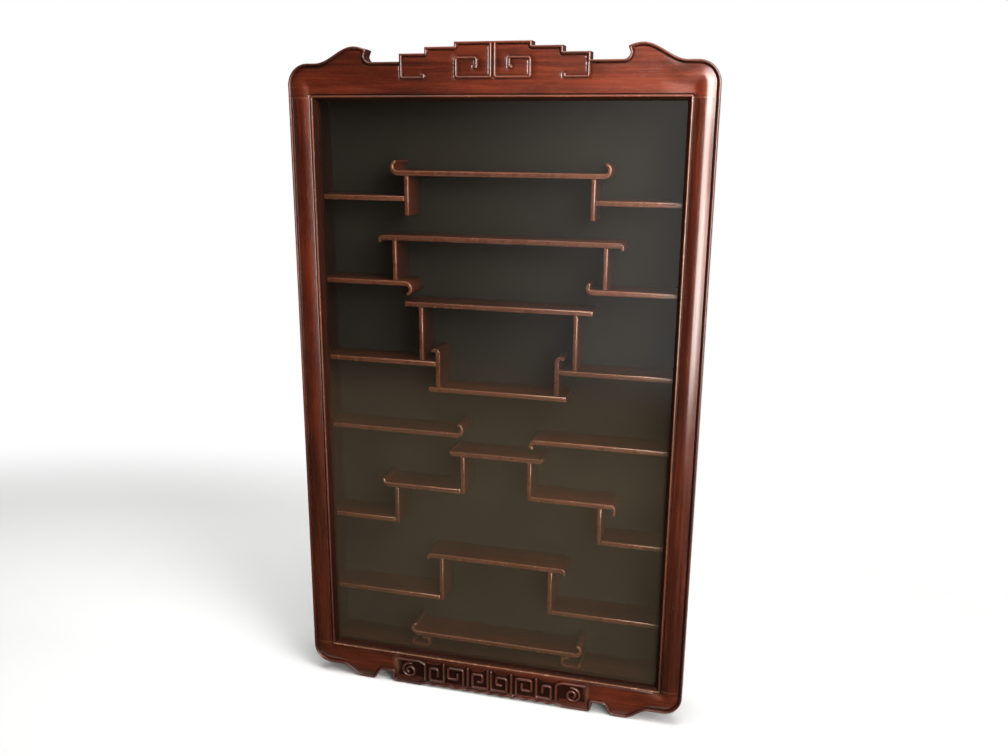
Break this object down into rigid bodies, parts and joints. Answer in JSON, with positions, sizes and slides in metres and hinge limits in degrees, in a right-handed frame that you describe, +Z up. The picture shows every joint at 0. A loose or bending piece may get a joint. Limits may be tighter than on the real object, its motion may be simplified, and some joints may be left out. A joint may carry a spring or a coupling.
{
  "type": "display cabinet",
  "caption": "Shallow hardwood display cabinet with a carved crest and apron, one glazed door hinged at the side, and stepped shelves with curled ends.",
  "frame": {"origin": "on the floor, under the middle of the whole object's bounding box", "axes": "+X to the right as a person facing the glass sees it, +Y to the wall behind, +Z up; the glass faces -Y"},
  "size_m": [0.58, 0.09, 0.9532],
  "materials": {
    "frame_wood": "polished reddish hardwood",
    "shelf_wood": "satin reddish hardwood",
    "case_wood": "satin dark hardwood",
    "dark_lining": "thin panel with dark matt lining",
    "clear_glass": "clear flat glass",
    "brass": "satin aged brass",
    "steel": "plain satin"
  },
  "bodies": {
    "case": {"case_side_left": "case_wood", "case_side_right": "case_wood", "case_top": "case_wood", "case_bottom": "case_wood", "back_panel": "dark_lining", "centre_shelf_first": "shelf_wood", "centre_shelf_second": "shelf_wood", "centre_shelf_third": "shelf_wood", "centre_shelf_fourth": "shelf_wood", "centre_shelf_fifth": "shelf_wood", "centre_shelf_sixth": "shelf_wood", "centre_shelf_seventh": "shelf_wood", "left_shelf_first": "shelf_wood", "left_shelf_second": "shelf_wood", "left_shelf_third": "shelf_wood", "left_shelf_fourth": "shelf_wood", "left_shelf_fifth": "shelf_wood", "left_shelf_sixth": "shelf_wood", "left_shelf_seventh": "shelf_wood", "left_upright_first": "shelf_wood", "left_upright_second": "shelf_wood", "left_upright_third": "shelf_wood", "left_upright_hooked": "shelf_wood", "left_upright_fifth": "shelf_wood", "left_upright_sixth": "shelf_wood", "left_upright_seventh": "shelf_wood", "left_scroll_foot": "shelf_wood", "right_shelf_first": "shelf_wood", "right_shelf_second": "shelf_wood", "right_shelf_third": "shelf_wood", "right_shelf_fourth": "shelf_wood", "right_shelf_fifth": "shelf_wood", "right_shelf_sixth": "shelf_wood", "right_shelf_seventh": "shelf_wood", "right_upright_first": "shelf_wood", "right_upright_second": "shelf_wood", "right_upright_third": "shelf_wood", "right_upright_hooked": "shelf_wood", "right_upright_fifth": "shelf_wood", "right_upright_sixth": "shelf_wood", "right_upright_seventh": "shelf_wood", "right_scroll_foot": "shelf_wood", "upper_hinge_case_leaf": "brass", "lower_hinge_case_leaf": "brass", "upper_hinge_pin": "brass", "lower_hinge_pin": "brass", "catch_magnet": "steel", "hanging_plate": "brass"},
    "door": {"crest_rail": "frame_wood", "left_stile": "frame_wood", "right_stile": "frame_wood", "apron_rail": "frame_wood", "glazing_strip_left": "frame_wood", "glazing_strip_right": "frame_wood", "glazing_strip_top": "frame_wood", "glazing_strip_bottom": "frame_wood", "glass_pane": "clear_glass", "upper_hinge_door_leaf": "brass", "lower_hinge_door_leaf": "brass", "catch_strike": "steel"}
  },
  "joints": [
    {"name": "door_swing", "type": "hinge", "parent": "case", "child": "door", "pos_m": [-0.2813, -0.0197, 0.4683], "axis": [0, 0, -1], "range_deg": [0, 100]}
  ]
}
